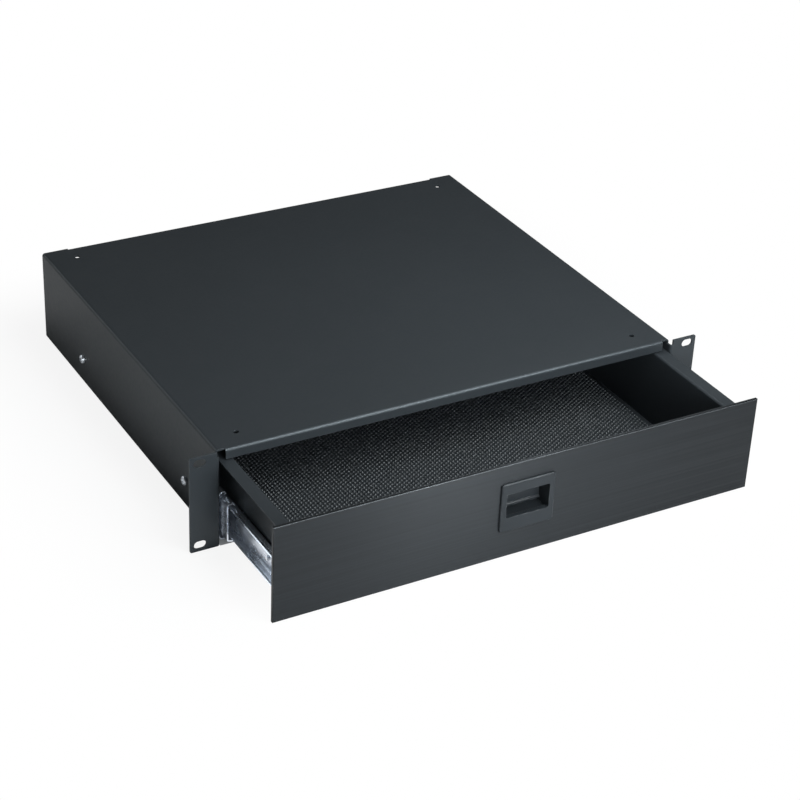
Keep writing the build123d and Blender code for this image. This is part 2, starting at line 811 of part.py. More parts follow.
def latch_bolt():
    """Sprung bolt: a ramped nose that rises behind the chassis lip, on a shank in the guide."""
    ramp_z = shoulder_z + bolt_shoulder
    ramp_run = bolt_tip_z - ramp_z
    outline = [
        (bolt_front_y, shoulder_z),
        (bolt_front_y, bolt_tip_z),
        (bolt_front_y + bolt_crown, bolt_tip_z),
        (bolt_front_y + bolt_crown + ramp_run, ramp_z),
        (shank_rear_y, ramp_z),
        (shank_rear_y, shank_foot_z),
        (shank_front_y, shank_foot_z),
        (shank_front_y, shoulder_z),
    ]
    bolt = across_x(make_face(Polyline(*outline, close=True)), -bolt_width / 2, bolt_width / 2)
    notch_floor_z = pivot_z - arm_tip_radius - arm_rest_gap
    notch_top_z = pivot_z + arm_tip_radius + bolt_travel + arm_rest_gap
    notch_half = arm_width / 2 + arm_slot_gap
    notch_rear_y = arm_tip_y + arm_tip_radius + arm_rest_gap
    bolt -= box_between(
        (-notch_half, shank_front_y - 1, notch_floor_z), (notch_half, notch_rear_y, notch_top_z)
    )
    return bolt


def bolt_spring():
    """Compression spring under the bolt, its coil drawn in straight lengths."""
    height = shank_foot_z - guide_floor_z - 2 * spring_wire
    count = spring_turn_count * length_count_per_turn
    turns = [2 * pi * n / length_count_per_turn for n in range(count + 1)]
    rise = height / turns[-1]
    coil = Polyline(*[(spring_radius * cos(t), spring_radius * sin(t), rise * t) for t in turns])
    wire_start = Plane(origin=coil @ 0, z_dir=coil % 0)
    wire = RegularPolygon(spring_wire, wire_flat_count)
    spring = sweep(wire_start * wire, coil, transition=Transition.RIGHT)
    middle_y = (shank_front_y + shank_rear_y) / 2
    return Pos(0, middle_y, guide_floor_z + spring_wire) * spring


# Every piece by name

cage_travel = intermediate_open_at_rest / 2
drawer_over_intermediate = open_at_rest - intermediate_open_at_rest
inner_cage_travel = intermediate_open_at_rest + drawer_over_intermediate / 2

pieces = {
    "chassis_shell": chassis_shell(),
    "rear_brace": rear_brace(),
    "chassis_slide_screws": chassis_slide_screws(),
    "drawer_slide_screws": [opened(s) for s in drawer_slide_screws()],
    "drawer_box": opened(drawer_box()),
    "drawer_mat": opened(drawer_mat()),
    "face_panel": opened(face_panel()),
    "face_studs": [opened(s) for s in face_studs()],
    "face_nuts": [opened(n) for n in face_nuts()],
    "latch_housing": opened(latch_housing()),
    "latch_paddle": opened(latch_paddle()),
    "paddle_pin": opened(paddle_pin()),
    "latch_bolt": opened(latch_bolt()),
    "bolt_spring": opened(bolt_spring()),
}

slide_pieces = {
    "outer_rail": [outer_rail()],
    "intermediate_rail": [part_opened(intermediate_rail(), intermediate_open_at_rest)],
    "drawer_rail": [opened(drawer_rail())],
    "outer_ball_cage": [part_opened(outer_cage(), cage_travel)],
    "inner_ball_cage": [part_opened(inner_cage(), inner_cage_travel)],
    "outer_balls": [
        part_opened(b, cage_travel) for b in ball_set(outer_u, outer_w, outer_ball_radius)
    ],
    "inner_balls": [
        part_opened(b, inner_cage_travel) for b in ball_set(inner_u, inner_w, inner_ball_radius)
    ],
    "rear_bumper": [rear_bumper()],
}
for name, shapes in slide_pieces.items():
    pieces["left_" + name] = shapes
    pieces["right_" + name] = [mirror(s, Plane.YZ) for s in shapes]

for name, shapes in pieces.items():
    solids = [s for shape in (shapes if isinstance(shapes, list) else [shapes]) for s in shape.solids()]
    export_step(Compound(solids) if len(solids) > 1 else solids[0], "parts/" + name + ".step")
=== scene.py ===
from math import cos, pi, radians, sin, sqrt

import bmesh
import bpy
from mathutils import Matrix, Vector


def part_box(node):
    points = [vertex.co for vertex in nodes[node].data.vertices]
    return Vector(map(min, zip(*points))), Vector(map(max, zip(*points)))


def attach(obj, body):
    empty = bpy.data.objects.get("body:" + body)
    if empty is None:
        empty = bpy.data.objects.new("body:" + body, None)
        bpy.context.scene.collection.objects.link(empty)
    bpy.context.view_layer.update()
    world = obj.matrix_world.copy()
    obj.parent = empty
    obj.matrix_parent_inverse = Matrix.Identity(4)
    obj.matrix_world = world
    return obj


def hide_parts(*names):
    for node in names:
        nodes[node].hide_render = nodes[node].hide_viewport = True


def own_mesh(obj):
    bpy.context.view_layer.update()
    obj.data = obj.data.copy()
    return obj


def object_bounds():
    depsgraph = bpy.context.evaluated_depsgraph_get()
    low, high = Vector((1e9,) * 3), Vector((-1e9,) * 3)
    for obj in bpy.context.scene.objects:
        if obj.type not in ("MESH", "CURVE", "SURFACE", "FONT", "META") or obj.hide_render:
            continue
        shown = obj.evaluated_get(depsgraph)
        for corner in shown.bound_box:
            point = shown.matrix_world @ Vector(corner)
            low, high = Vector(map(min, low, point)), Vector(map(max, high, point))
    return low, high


# Looks of a two-unit sliding rack drawer: powder-coated steel, a brushed black face, zinc ball
# slides, a beaded rubber mat and a moulded paddle latch. Metres, in the frame of the solids.

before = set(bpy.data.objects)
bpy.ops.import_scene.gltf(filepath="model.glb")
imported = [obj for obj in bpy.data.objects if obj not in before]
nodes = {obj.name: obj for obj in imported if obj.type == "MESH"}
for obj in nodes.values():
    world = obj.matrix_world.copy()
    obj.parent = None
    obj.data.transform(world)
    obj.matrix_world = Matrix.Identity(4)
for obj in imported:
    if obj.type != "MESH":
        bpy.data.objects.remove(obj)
solid_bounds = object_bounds()
MM = 0.001
TOUCHING = 0.005 * MM

# Camera, worked out from the rack panel's known size in the photograph
CAMERA_PLACE = Vector((-0.79899, -1.27140, 0.91081))
CAMERA_AZIMUTH = radians(30.34)
CAMERA_ELEVATION = radians(30.26)
CAMERA_ROLL = radians(2.68)
LENS = 94.63
SENSOR = 36.0
CAMERA_NEAR = 0.05
CAMERA_FAR = 50.0

# Floor
FLOOR_HALF = 6.0
FLOOR_COLOUR = 0.72
SHADOW_SHARE = 0.12
SHADOW_REACH = 0.16
MIRRORED_NEAR = 0.06
MIRRORED_FAR = 1.8
MIRRORED_ENDS = 0.15
OPEN_BAND = (0.012, 0.085, 0.115)

# Sky: even for soft light, and for mirrored light white at the horizon and greyer above
AMBIENT = 0.15
SKY_BOTTOM = 0.0
SKY_TOP = 0.15
SKY_SHARE = 0.05

# Lamps: place, point aimed at, width, height, watts, and whether only mirrored light counts
LAMP_COLOUR = (0.93, 0.98, 1.0)
LAMPS = {
    "key_lamp": ((0.14, -0.68, 1.0), (0.0, -0.05, 0.02), 0.45, 0.9, 14.6, False),
    "overhead_lamp": ((0.28, 0.1, 0.5), (0.17, 0.1, 0.04), 0.4, 0.3, 1.7, False),
    "rear_left_lamp": ((-0.86, 1.17, 0.7), (-0.2, 0.1, 0.0), 0.8, 0.5, 3.5, True),
    "rear_top_lamp": ((0.56, 1.16, 1.19), (0.0, 0.2, 0.04), 1.4, 0.8, 1.25, False),
    "front_pool_lamp": ((0.06, -0.38, 0.11), (0.02, -0.11, 0.0), 0.12, 0.24, 1.2, False),
    "front_lamp": ((-0.3, -1.65, 0.5), (-0.15, 0.0, 0.0), 0.8, 0.6, 25.0, False),
    "edge_lamp": ((0.5, -0.57, 0.84), (0.0, 0.0, 0.04), 0.4, 0.4, 17.0, True),
}

# Finishes
EDGE_SAMPLES = 6
EDGE_TURN = (0.995, 0.86)
# Patches of the edge band, which is partly worn finish and partly a painted highlight
WORN_AND_HIGHLIT_PATCHES = (0.42, 0.68)
BRUSH_BROADER = 0.27
BRUSH_TONES = (0.14, 0.38)
FACING_UP = (0.5, 1.0)
DUST_FILM = (0.4, 0.8)

# Powder coat
COAT_DARK = (0.0165, 0.0193, 0.022)
COAT_LIGHT = (0.0215, 0.0249, 0.0282)
# Lighter edge colour and its share: partly worn finish, partly a painted highlight on bends and edges
COAT_WORN_AND_HIGHLIT = (0.1, 0.108, 0.115)
COAT_WEAR_AND_HIGHLIGHT = 0.6
COAT_DUST = (0.3, 0.29, 0.27)
COAT_DUSTED = 0.008
COAT_ROUGHNESS = (0.34, 0.46)

# Brushed face
FACE_DARK = (0.0085, 0.0098, 0.0113)
FACE_LIGHT = (0.0153, 0.0177, 0.0202)
FACE_CLOUD = (0.0129, 0.015, 0.0172)
FACE_CLOUDED = 0.3
# Lighter edge colour and its share: partly bare metal, partly a painted highlight
FACE_BARE_AND_HIGHLIT = (0.16, 0.17, 0.18)
FACE_WEAR_AND_HIGHLIGHT = 0.5
FACE_ROUGHNESS = (0.42, 0.35)

# Metals: dark and light tone, lines per metre, and roughness at both ends of its drift
ROLLED_ALONG_Y = (1800.0, 9.0, 1800.0)
TURNED = (700.0, 700.0, 700.0)
METALS = {
    "zinc_rail": ((0.66, 0.71, 0.79), (0.87, 0.91, 0.97), ROLLED_ALONG_Y, 0.2, 0.36),
    "cage_steel": ((0.42, 0.45, 0.49), (0.6, 0.63, 0.67), ROLLED_ALONG_Y, 0.25, 0.4),
    "ball_steel": ((0.7, 0.71, 0.73), (0.8, 0.81, 0.83), TURNED, 0.06, 0.12),
    "zinc_fasteners": ((0.7, 0.73, 0.78), (0.87, 0.9, 0.94), TURNED, 0.26, 0.4),
    "bolt_metal": ((0.5, 0.52, 0.55), (0.66, 0.68, 0.71), TURNED, 0.24, 0.4),
    "spring_steel": ((0.42, 0.42, 0.44), (0.58, 0.58, 0.6), TURNED, 0.2, 0.34),
}
METAL_CLOUDED = 0.35
METAL_BARE = (0.86, 0.87, 0.88)
METAL_WEAR = 0.5

# Rubbers: dark and light tone, and share of dust
RUBBERS = {
    "bumper_rubber": ((0.018, 0.018, 0.02), (0.03, 0.03, 0.032), 0.06),
    "mat_rubber": ((0.0213, 0.0245, 0.0274), (0.031, 0.0353, 0.0395), 0.04),
}
RUBBER_DUST = (0.24, 0.24, 0.235)
RUBBER_ROUGHNESS = (0.35, 0.5)

# Plastics: dark and light tone, roughness where rubbed and where not, and gloss
PLASTICS = {
    "latch_plastic": ((0.0098, 0.0116, 0.0133), (0.0142, 0.0166, 0.0191), 0.36, 0.5, 0.12),
    "paddle_plastic": ((0.009, 0.0106, 0.0122), (0.0135, 0.0157, 0.018), 0.26, 0.4, 0.22),
}
# Lighter edge colour and its share: partly worn plastic, partly a painted highlight
PLASTIC_WORN_AND_HIGHLIT = (0.2, 0.21, 0.22)
PLASTIC_WEAR_AND_HIGHLIGHT = 0.8

# Beaded mat
BEAD_PITCH = 3.9 * MM
BEAD_RADIUS = 1.6 * MM
BEAD_SHOULDER = 0.72
BEAD_SHOULDER_RISE = 0.7
BEAD_SIDES = 6
BEAD_SUNK = 0.1 * MM
MAT_BASE = 0.5
MAT_CORNER = 2.0 * MM
MAT_CORNER_STEPS = 5
MAT_EDGE = 0.4 * MM
MAT_BORDER = 3.6 * MM
MAT_CREASE = 65

# Screws: height of the head and radius of the shank by node
SCREW_SIZES = {
    "chassis_slide_screws": (2.6 * MM, 1.95 * MM),
    "drawer_slide_screws": (1.9 * MM, 1.95 * MM),
}
SCREW_TURNS = (0.3, 1.1, 0.75, 0.1)
PAN_CROWN = 0.55
LOW_CROWN = 0.65
HEAD_SIDES = 40
HEAD_RINGS = 6
HEAD_FLAT = 0.35
HEAD_SIDE = 0.8
RECESS_HALF_LENGTH = 0.52
RECESS_HALF_WIDTH = 0.11
RECESS_DEPTH = 0.62
RECESS_FOOT = 0.6
RECESS_MOUTH = 1.4
SCREW_CREASE = 35

# Studs and nuts that hold the face
THREAD_PITCH = 0.7 * MM
THREAD_DEPTH = 0.3 * MM
THREAD_SIDES = 20
THREAD_STEPS = 6
STUD_POINT = 0.75
STUD_CREASE = 40
NUT_ACROSS_FLATS = 7.0 * MM
NUT_WASHER_EDGE = 0.45 * MM
NUT_WASHER_HEIGHT = 0.95 * MM
NUT_CHAMFER = 0.5 * MM
NUT_BORE = 2.05 * MM
NUT_BORE_CHAMFER = 0.3 * MM
NUT_STEPS = 8
NUT_CREASE = 28

# Balls and spring
BALL_RADII = {"outer": 2.0 * MM, "inner": 1.75 * MM}
BALL_SEGMENTS = 24
BALL_RINGS = 16
SPRING_WIRE = 0.25 * MM
SPRING_TURNS = 4
SPRING_STEPS = 32
WIRE_SIDES = 12
SPRING_CREASE = 60


# Small helpers


def part_size(node):
    """Middle and size of a carried solid."""
    low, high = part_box(node)
    return (low + high) / 2, high - low


def new_piece(name, mesh, body, slot, *replaced):
    """Puts a mesh in the scene as a piece that rides on a body and stands for solids."""
    piece = bpy.data.objects.new(name, mesh)
    bpy.context.scene.collection.objects.link(piece)
    piece.data.materials.append(bpy.data.materials[slot])
    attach(piece, body)
    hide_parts(*replaced)
    return piece


def mesh_of(name, points, faces):
    """A mesh from points and faces, with its normals turned outward."""
    mesh = bpy.data.meshes.new(name)
    mesh.from_pydata(points, [], faces)
    work = bmesh.new()
    work.from_mesh(mesh)
    bmesh.ops.recalc_face_normals(work, faces=work.faces)
    work.to_mesh(mesh)
    work.free()
    return mesh


def shaded(mesh, crease):
    """Smooth shading that stays sharp where faces turn by more than an angle."""
    mesh.shade_smooth()
    mesh.set_sharp_from_angle(angle=radians(crease))
    return mesh


def ring_faces(sides, rings, closed=False):
    """Faces between rings of points, and from the last ring to the first if closed."""
    faces = []
    for ring in range(rings if closed else rings - 1):
        base = ring * sides
        above = (ring + 1) % rings * sides
        for n in range(sides):
            after = (n + 1) % sides
            faces.append((base + n, base + after, above + after, above + n))
    return faces


def capped_faces(sides, rings):
    """Faces of a round body with a flat face at each end."""
    last = (rings - 1) * sides
    ends = [tuple(range(sides)), tuple(last + n for n in range(sides))]
    return ring_faces(sides, rings) + ends


def islands(node):
    """Lowest and highest corner of each separate solid of a node, found by its touching points."""
    work = bmesh.new()
    work.from_mesh(nodes[node].data)
    bmesh.ops.remove_doubles(work, verts=work.verts, dist=TOUCHING)
    seen = set()
    found = []
    for start in work.verts:
        if start.index in seen:
            continue
        seen.add(start.index)
        group = [start]
        for point in group:
            for edge in point.link_edges:
                other = edge.other_vert(point)
                if other.index not in seen:
                    seen.add(other.index)
                    group.append(other)
        low = Vector(min(p.co[axis] for p in group) for axis in range(3))
        high = Vector(max(p.co[axis] for p in group) for axis in range(3))
        found.append((low, high))
    work.free()
    return found


def joined(name, meshes_and_places):
    """One mesh made of copies of meshes, each set in place by its matrix."""
    work = bmesh.new()
    for mesh, place in meshes_and_places:
        placed = mesh.copy()
        placed.transform(place)
        work.from_mesh(placed)
        bpy.data.meshes.remove(placed)
    result = bpy.data.meshes.new(name)
    work.to_mesh(result)
    work.free()
    return result


def cut_from(mesh, cutter):
    """The mesh with the cutter taken away."""
    blank = bpy.data.objects.new("blank", mesh)
    tool = bpy.data.objects.new("tool", cutter)
    for thing in (blank, tool):
        bpy.context.scene.collection.objects.link(thing)
    cut = blank.modifiers.new("cut", "BOOLEAN")
    cut.operation = "DIFFERENCE"
    cut.solver = "EXACT"
    cut.object = tool
    bpy.context.view_layer.update()
    graph = bpy.context.evaluated_depsgraph_get()
    result = bpy.data.meshes.new_from_object(blank.evaluated_get(graph))
    for thing in (blank, tool):
        bpy.data.objects.remove(thing)
    return result


# Shader groups


def wired(tree, kind, inputs=(), **settings):
    """Adds a node with its options, and sets or links its inputs."""
    node = tree.nodes.new(kind)
    for option, value in settings.items():
        setattr(node, option, value)
    for socket, value in dict(inputs).items():
        if isinstance(value, bpy.types.NodeSocket):
            tree.links.new(value, node.inputs[socket])
        else:
            node.inputs[socket].default_value = value
    return node


def ranged(tree, value, low_in, high_in, low_out=0.0, high_out=1.0, curve="LINEAR"):
    """A value carried from one range to another, held at its ends."""
    sockets = {
        "Value": value, "From Min": low_in, "From Max": high_in, "To Min": low_out, "To Max": high_out
    }
    return wired(tree, "ShaderNodeMapRange", sockets, interpolation_type=curve).outputs["Result"]


def combined(tree, operation, first, second):
    """Two values worked into one."""
    return wired(tree, "ShaderNodeMath", {0: first, 1: second}, operation=operation).outputs["Value"]


def place_on_object(tree):
    """Where a point lies on its object."""
    return wired(tree, "ShaderNodeTexCoord").outputs["Object"]


def clouds(tree, place, scale, detail, roughness):
    """Soft noise at so many patches per metre."""
    sockets = {"Vector": place, "Scale": scale, "Detail": detail, "Roughness": roughness}
    return wired(tree, "ShaderNodeTexNoise", sockets).outputs["Fac"]


def new_group(name, inputs, outputs):
    """An empty shader group with named inputs, each with its usual value, and named outputs."""
    group = bpy.data.node_groups.new(name, "ShaderNodeTree")
    for label, value in inputs.items():
        kind = "NodeSocketVector" if isinstance(value, tuple) else "NodeSocketFloat"
        group.interface.new_socket(label, in_out="INPUT", socket_type=kind).default_value = value
    for label in outputs:
        group.interface.new_socket(label, in_out="OUTPUT", socket_type="NodeSocketFloat")
    given = group.nodes.new("NodeGroupInput").outputs
    made = group.nodes.new("NodeGroupOutput").inputs
    return group, given, made


def edge_wear_and_highlight():
    """Edge band, partly worn finish and partly a painted highlight: a thin band along edges where the
    finish has rubbed and where bends catch light, broken into patches.
    """
    group, given, made = new_group(
        "Edge wear and highlight", {"Width": 0.5 * MM, "Patches per metre": 220.0}, ("Wear and highlight",)
    )
    rounded = wired(group, "ShaderNodeBevel", {"Radius": given["Width"]}, samples=EDGE_SAMPLES)
    flat = wired(group, "ShaderNodeNewGeometry")
    normals = {0: rounded.outputs["Normal"], 1: flat.outputs["Normal"]}
    turned = wired(group, "ShaderNodeVectorMath", normals, operation="DOT_PRODUCT")
    band = ranged(group, turned.outputs["Value"], *EDGE_TURN)
    patches = clouds(group, place_on_object(group), given["Patches per metre"], 3.0, 0.5)
    # The band marks worn edges and also paints a highlight on them, broken into patches
    wear_and_highlight = combined(group, "MULTIPLY", band, ranged(group, patches, *WORN_AND_HIGHLIT_PATCHES))
    group.links.new(wear_and_highlight, made["Wear and highlight"])
    return group


def coat_grain():
    """Height and tone of a sprayed or moulded skin: fine peaks over a slower ripple."""
    group, given, made = new_group(
        "Coat grain", {"Grains per metre": 1500.0, "Ripples per metre": 260.0}, ("Height", "Tone")
    )
    spot = place_on_object(group)
    peaks = {"Vector": spot, "Scale": given["Grains per metre"]}
    grains = wired(group, "ShaderNodeTexVoronoi", peaks, feature="SMOOTH_F1").outputs["Distance"]
    ripples = clouds(group, spot, given["Ripples per metre"], 4.0, 0.6)
    group.links.new(combined(group, "ADD", grains, ripples), made["Height"])
    group.links.new(ripples, made["Tone"])
    return group


def brushing():
    """Height and tone of fine scratches that all run one way."""
    group, given, made = new_group(
        "Brushing", {"Lines per metre": (18.0, 2600.0, 2600.0)}, ("Height", "Tone")
    )
    steps = {0: place_on_object(group), 1: given["Lines per metre"]}
    drawn = wired(group, "ShaderNodeVectorMath", steps, operation="MULTIPLY").outputs["Vector"]
    fine = clouds(group, drawn, 1.0, 3.0, 0.75)
    broad = clouds(group, drawn, BRUSH_BROADER, 2.0, 0.6)
    group.links.new(fine, made["Height"])
    tone = ranged(group, combined(group, "MULTIPLY", fine, broad), *BRUSH_TONES)
    group.links.new(tone, made["Tone"])
    return group


def tone_drift():
    """Tone: the slow unevenness of a large surface."""
    group, given, made = new_group("Tone drift", {"Patches per metre": 7.0}, ("Tone",))
    drift = clouds(group, place_on_object(group), given["Patches per metre"], 2.0, 0.4)
    group.links.new(drift, made["Tone"])
    return group


def settled_dust():
    """Dust: a faint uneven film on what faces upward."""
    group, given, made = new_group("Settled dust", {"Patches per metre": 45.0}, ("Dust",))
    facing = wired(group, "ShaderNodeTexCoord").outputs["Normal"]
    upward = wired(group, "ShaderNodeSeparateXYZ", {"Vector": facing}).outputs["Z"]
    film = clouds(group, place_on_object(group), given["Patches per metre"], 6.0, 0.65)
    lying = ranged(group, upward, *FACING_UP)
    dust = combined(group, "MULTIPLY", lying, ranged(group, film, *DUST_FILM))
    group.links.new(dust, made["Dust"])
    return group


GROUPS = {
    "Edge wear and highlight": edge_wear_and_highlight(),
    "Coat grain": coat_grain(),
    "Brushing": brushing(),
    "Tone drift": tone_drift(),
    "Settled dust": settled_dust(),
}


# Materials


def new_material(slot):
    """An empty material with its shader, which takes the place of the plain one on the solids."""
    old = bpy.data.materials.get(slot)
    if old:
        old.name = slot + "_plain"
    material = bpy.data.materials.new(slot)
    material.use_nodes = True
    tree = material.node_tree
    if old:
        old.user_remap(material)
        bpy.data.materials.remove(old)
    return tree, tree.nodes["Principled BSDF"]


def placed_group(tree, name, **values):
    """One of the shared groups, set in a material with its own values."""
    group = wired(tree, "ShaderNodeGroup", node_tree=GROUPS[name])
    for label, value in values.items():
        group.inputs[label.replace("_", " ")].default_value = value
    return group.outputs


def blended(tree, factor, low, high):
    """A colour that goes from one to another with a mask, or from another blend."""
    mix = tree.nodes.new("ShaderNodeMix")
    mix.data_type = "RGBA"
    tree.links.new(factor, mix.inputs["Factor"])
    for socket, colour in ((mix.inputs[6], low), (mix.inputs[7], high)):
        if isinstance(colour, bpy.types.NodeSocket):
            tree.links.new(colour, socket)
        else:
            socket.default_value = (*colour, 1.0)
    return mix.outputs[2]


def between(tree, mask, low, high):
    """A value that goes from one to another with a mask."""
    return ranged(tree, mask, 0.0, 1.0, low, high)


def share_of(tree, mask, most):
    """A mask made fainter."""
    return between(tree, mask, 0.0, most)


def relief(tree, shader, height, depth, rounding):
    """Fine relief on a surface whose sharp edges are softened by a small rounding."""
    bevel = wired(tree, "ShaderNodeBevel", {"Radius": rounding}, samples=EDGE_SAMPLES)
    rounded = bevel.outputs["Normal"]
    sockets = {"Strength": 1.0, "Distance": depth, "Height": height, "Normal": rounded}
    raised = wired(tree, "ShaderNodeBump", sockets)
    tree.links.new(raised.outputs["Normal"], shader.inputs["Normal"])


def set_shader(shader, **values):
    """Sets the shader's own sockets."""
    for label, value in values.items():
        shader.inputs[label.replace("_", " ")].default_value = value


def powder_coat(slot):
    """Fine black powder coat on folded steel, lighter along its edges, partly from rubbing and partly
    as a painted highlight on bends and edges.
    """
    tree, shader = new_material(slot)
    grain = placed_group(tree, "Coat grain", Grains_per_metre=1700.0, Ripples_per_metre=330.0)
    drift = placed_group(tree, "Tone drift", Patches_per_metre=6.0)
    wear_and_highlight = placed_group(tree, "Edge wear and highlight", Width=0.45 * MM, Patches_per_metre=160.0)
    dust = placed_group(tree, "Settled dust", Patches_per_metre=60.0)
    colour = blended(tree, drift["Tone"], COAT_DARK, COAT_LIGHT)
    dusty = blended(tree, share_of(tree, dust["Dust"], COAT_DUSTED), colour, COAT_DUST)
    # Painted highlight along edges and bends, together with some worn finish
    edged = blended(tree, share_of(tree, wear_and_highlight["Wear and highlight"], COAT_WEAR_AND_HIGHLIGHT), dusty, COAT_WORN_AND_HIGHLIT)
    tree.links.new(edged, shader.inputs["Base Color"])
    tree.links.new(between(tree, grain["Tone"], *COAT_ROUGHNESS), shader.inputs["Roughness"])
    set_shader(shader, Specular_IOR_Level=0.26, Specular_Tint=(0.86, 0.95, 1.0, 1.0))
    relief(tree, shader, grain["Height"], 0.012 * MM, 0.35 * MM)


def brushed_face():
    """Black anodised aluminium, brushed from side to side, with a lighter edge band that is partly bare
    metal and partly a painted highlight.
    """
    tree, shader = new_material("black_brushed_face")
    lines = placed_group(tree, "Brushing", Lines_per_metre=(9.0, 2300.0, 2300.0))
    wear_and_highlight = placed_group(tree, "Edge wear and highlight", Width=0.5 * MM, Patches_per_metre=30.0)
    drift = placed_group(tree, "Tone drift", Patches_per_metre=5.0)
    brushed = blended(tree, lines["Tone"], FACE_DARK, FACE_LIGHT)
    uneven = blended(tree, share_of(tree, drift["Tone"], FACE_CLOUDED), brushed, FACE_CLOUD)
    # Painted highlight along the edges, together with some bare metal
    edged = blended(tree, share_of(tree, wear_and_highlight["Wear and highlight"], FACE_WEAR_AND_HIGHLIGHT), uneven, FACE_BARE_AND_HIGHLIT)
    tree.links.new(edged, shader.inputs["Base Color"])
    tree.links.new(between(tree, lines["Tone"], *FACE_ROUGHNESS), shader.inputs["Roughness"])
    set_shader(shader, Metallic=0.7, Anisotropic=0.8, Anisotropic_Rotation=0.25)
    across = wired(tree, "ShaderNodeTangent", direction_type="RADIAL", axis="Z")
    tree.links.new(across.outputs["Tangent"], shader.inputs["Tangent"])
    relief(tree, shader, lines["Height"], 0.005 * MM, 0.3 * MM)


def zinc(slot, dark, light, lines_per_metre, low_roughness, high_roughness):
    """Bare or zinc-plated metal with the marks of rolling or turning."""
    tree, shader = new_material(slot)
    lines = placed_group(tree, "Brushing", Lines_per_metre=lines_per_metre)
    drift = placed_group(tree, "Tone drift", Patches_per_metre=55.0)
    wear_and_highlight = placed_group(tree, "Edge wear and highlight", Width=0.2 * MM, Patches_per_metre=400.0)
    colour = blended(tree, lines["Tone"], dark, light)
    clouded = blended(tree, share_of(tree, drift["Tone"], METAL_CLOUDED), colour, dark)
    edged = blended(tree, share_of(tree, wear_and_highlight["Wear and highlight"], METAL_WEAR), clouded, METAL_BARE)
    tree.links.new(edged, shader.inputs["Base Color"])
    roughness = between(tree, drift["Tone"], low_roughness, high_roughness)
    tree.links.new(roughness, shader.inputs["Roughness"])
    set_shader(shader, Metallic=0.88)
    relief(tree, shader, lines["Height"], 0.006 * MM, 0.15 * MM)


def rubber(slot, dark, light, dusted):
    """Black rubber with a fine grain and a trace of dust."""
    tree, shader = new_material(slot)
    grain = placed_group(tree, "Coat grain", Grains_per_metre=2600.0, Ripples_per_metre=420.0)
    drift = placed_group(tree, "Tone drift", Patches_per_metre=18.0)
    dust = placed_group(tree, "Settled dust", Patches_per_metre=110.0)
    colour = blended(tree, drift["Tone"], dark, light)
    dusty = blended(tree, share_of(tree, dust["Dust"], dusted), colour, RUBBER_DUST)
    tree.links.new(dusty, shader.inputs["Base Color"])
    tree.links.new(between(tree, grain["Tone"], *RUBBER_ROUGHNESS), shader.inputs["Roughness"])
    set_shader(shader, Specular_IOR_Level=0.34)
    relief(tree, shader, grain["Height"], 0.015 * MM, 0.1 * MM)


def moulded(slot, dark, light, low_roughness, high_roughness, gloss):
    """Moulded black plastic with a spark-eroded texture, shiny where fingers rub it, with a lighter
    edge band that is partly worn and partly a painted highlight.
    """
    tree, shader = new_material(slot)
    grain = placed_group(tree, "Coat grain", Grains_per_metre=2200.0, Ripples_per_metre=500.0)
    drift = placed_group(tree, "Tone drift", Patches_per_metre=40.0)
    wear_and_highlight = placed_group(tree, "Edge wear and highlight", Width=0.4 * MM, Patches_per_metre=200.0)
    colour = blended(tree, drift["Tone"], dark, light)
    # Painted highlight along the edges, together with some worn plastic
    edged = blended(tree, share_of(tree, wear_and_highlight["Wear and highlight"], PLASTIC_WEAR_AND_HIGHLIGHT), colour, PLASTIC_WORN_AND_HIGHLIT)
    tree.links.new(edged, shader.inputs["Base Color"])
    roughness = between(tree, drift["Tone"], high_roughness, low_roughness)
    tree.links.new(roughness, shader.inputs["Roughness"])
    set_shader(shader, Specular_IOR_Level=gloss)
    relief(tree, shader, grain["Height"], 0.015 * MM, 0.3 * MM)


for slot in ("black_powder_coat", "drawer_powder_coat"):
    powder_coat(slot)
brushed_face()
for slot, values in METALS.items():
    zinc(slot, *values)
for slot, values in RUBBERS.items():
    rubber(slot, *values)
for slot, values in PLASTICS.items():
    moulded(slot, *values)


# Mat


def bead(sides, radius, low_z, high_z):
    """Points and faces of one domed bead, open underneath."""
    shoulder_z = low_z + BEAD_SHOULDER_RISE * (high_z - low_z)
    rings = ((radius, low_z), (radius * BEAD_SHOULDER, shoulder_z))
    turns = [2 * pi * n / sides for n in range(sides)]
    points = [(r * cos(t), r * sin(t), z) for r, z in rings for t in turns] + [(0, 0, high_z)]
    faces = ring_faces(sides, 2)
    faces.extend((sides + n, sides + (n + 1) % sides, 2 * sides) for n in range(sides))
    return points, faces


def rounded_slab(low, high, corner, edge):
    """Points and faces of a slab with round corners and a broken top edge."""
    middle = (low + high) / 2
    half = (high - low) / 2
    outline = []
    for sx, sy, start in ((1, 1, 0.0), (-1, 1, 0.5), (-1, -1, 1.0), (1, -1, 1.5)):
        for n in range(MAT_CORNER_STEPS + 1):
            turn = pi * (start + n / MAT_CORNER_STEPS / 2)
            outline.append((sx, sy, cos(turn), sin(turn)))
    points = []
    for z, inset in ((low.z, 0.0), (high.z - edge, 0.0), (high.z, edge)):
        reach = corner - inset
        for sx, sy, c, s in outline:
            x = middle.x + sx * (half.x - corner) + reach * c
            y = middle.y + sy * (half.y - corner) + reach * s
            points.append((x, y, z))
    count = len(outline)
    faces = [tuple(range(count - 1, -1, -1)), tuple(range(2 * count, 3 * count))]
    return points, faces + ring_faces(count, 3)


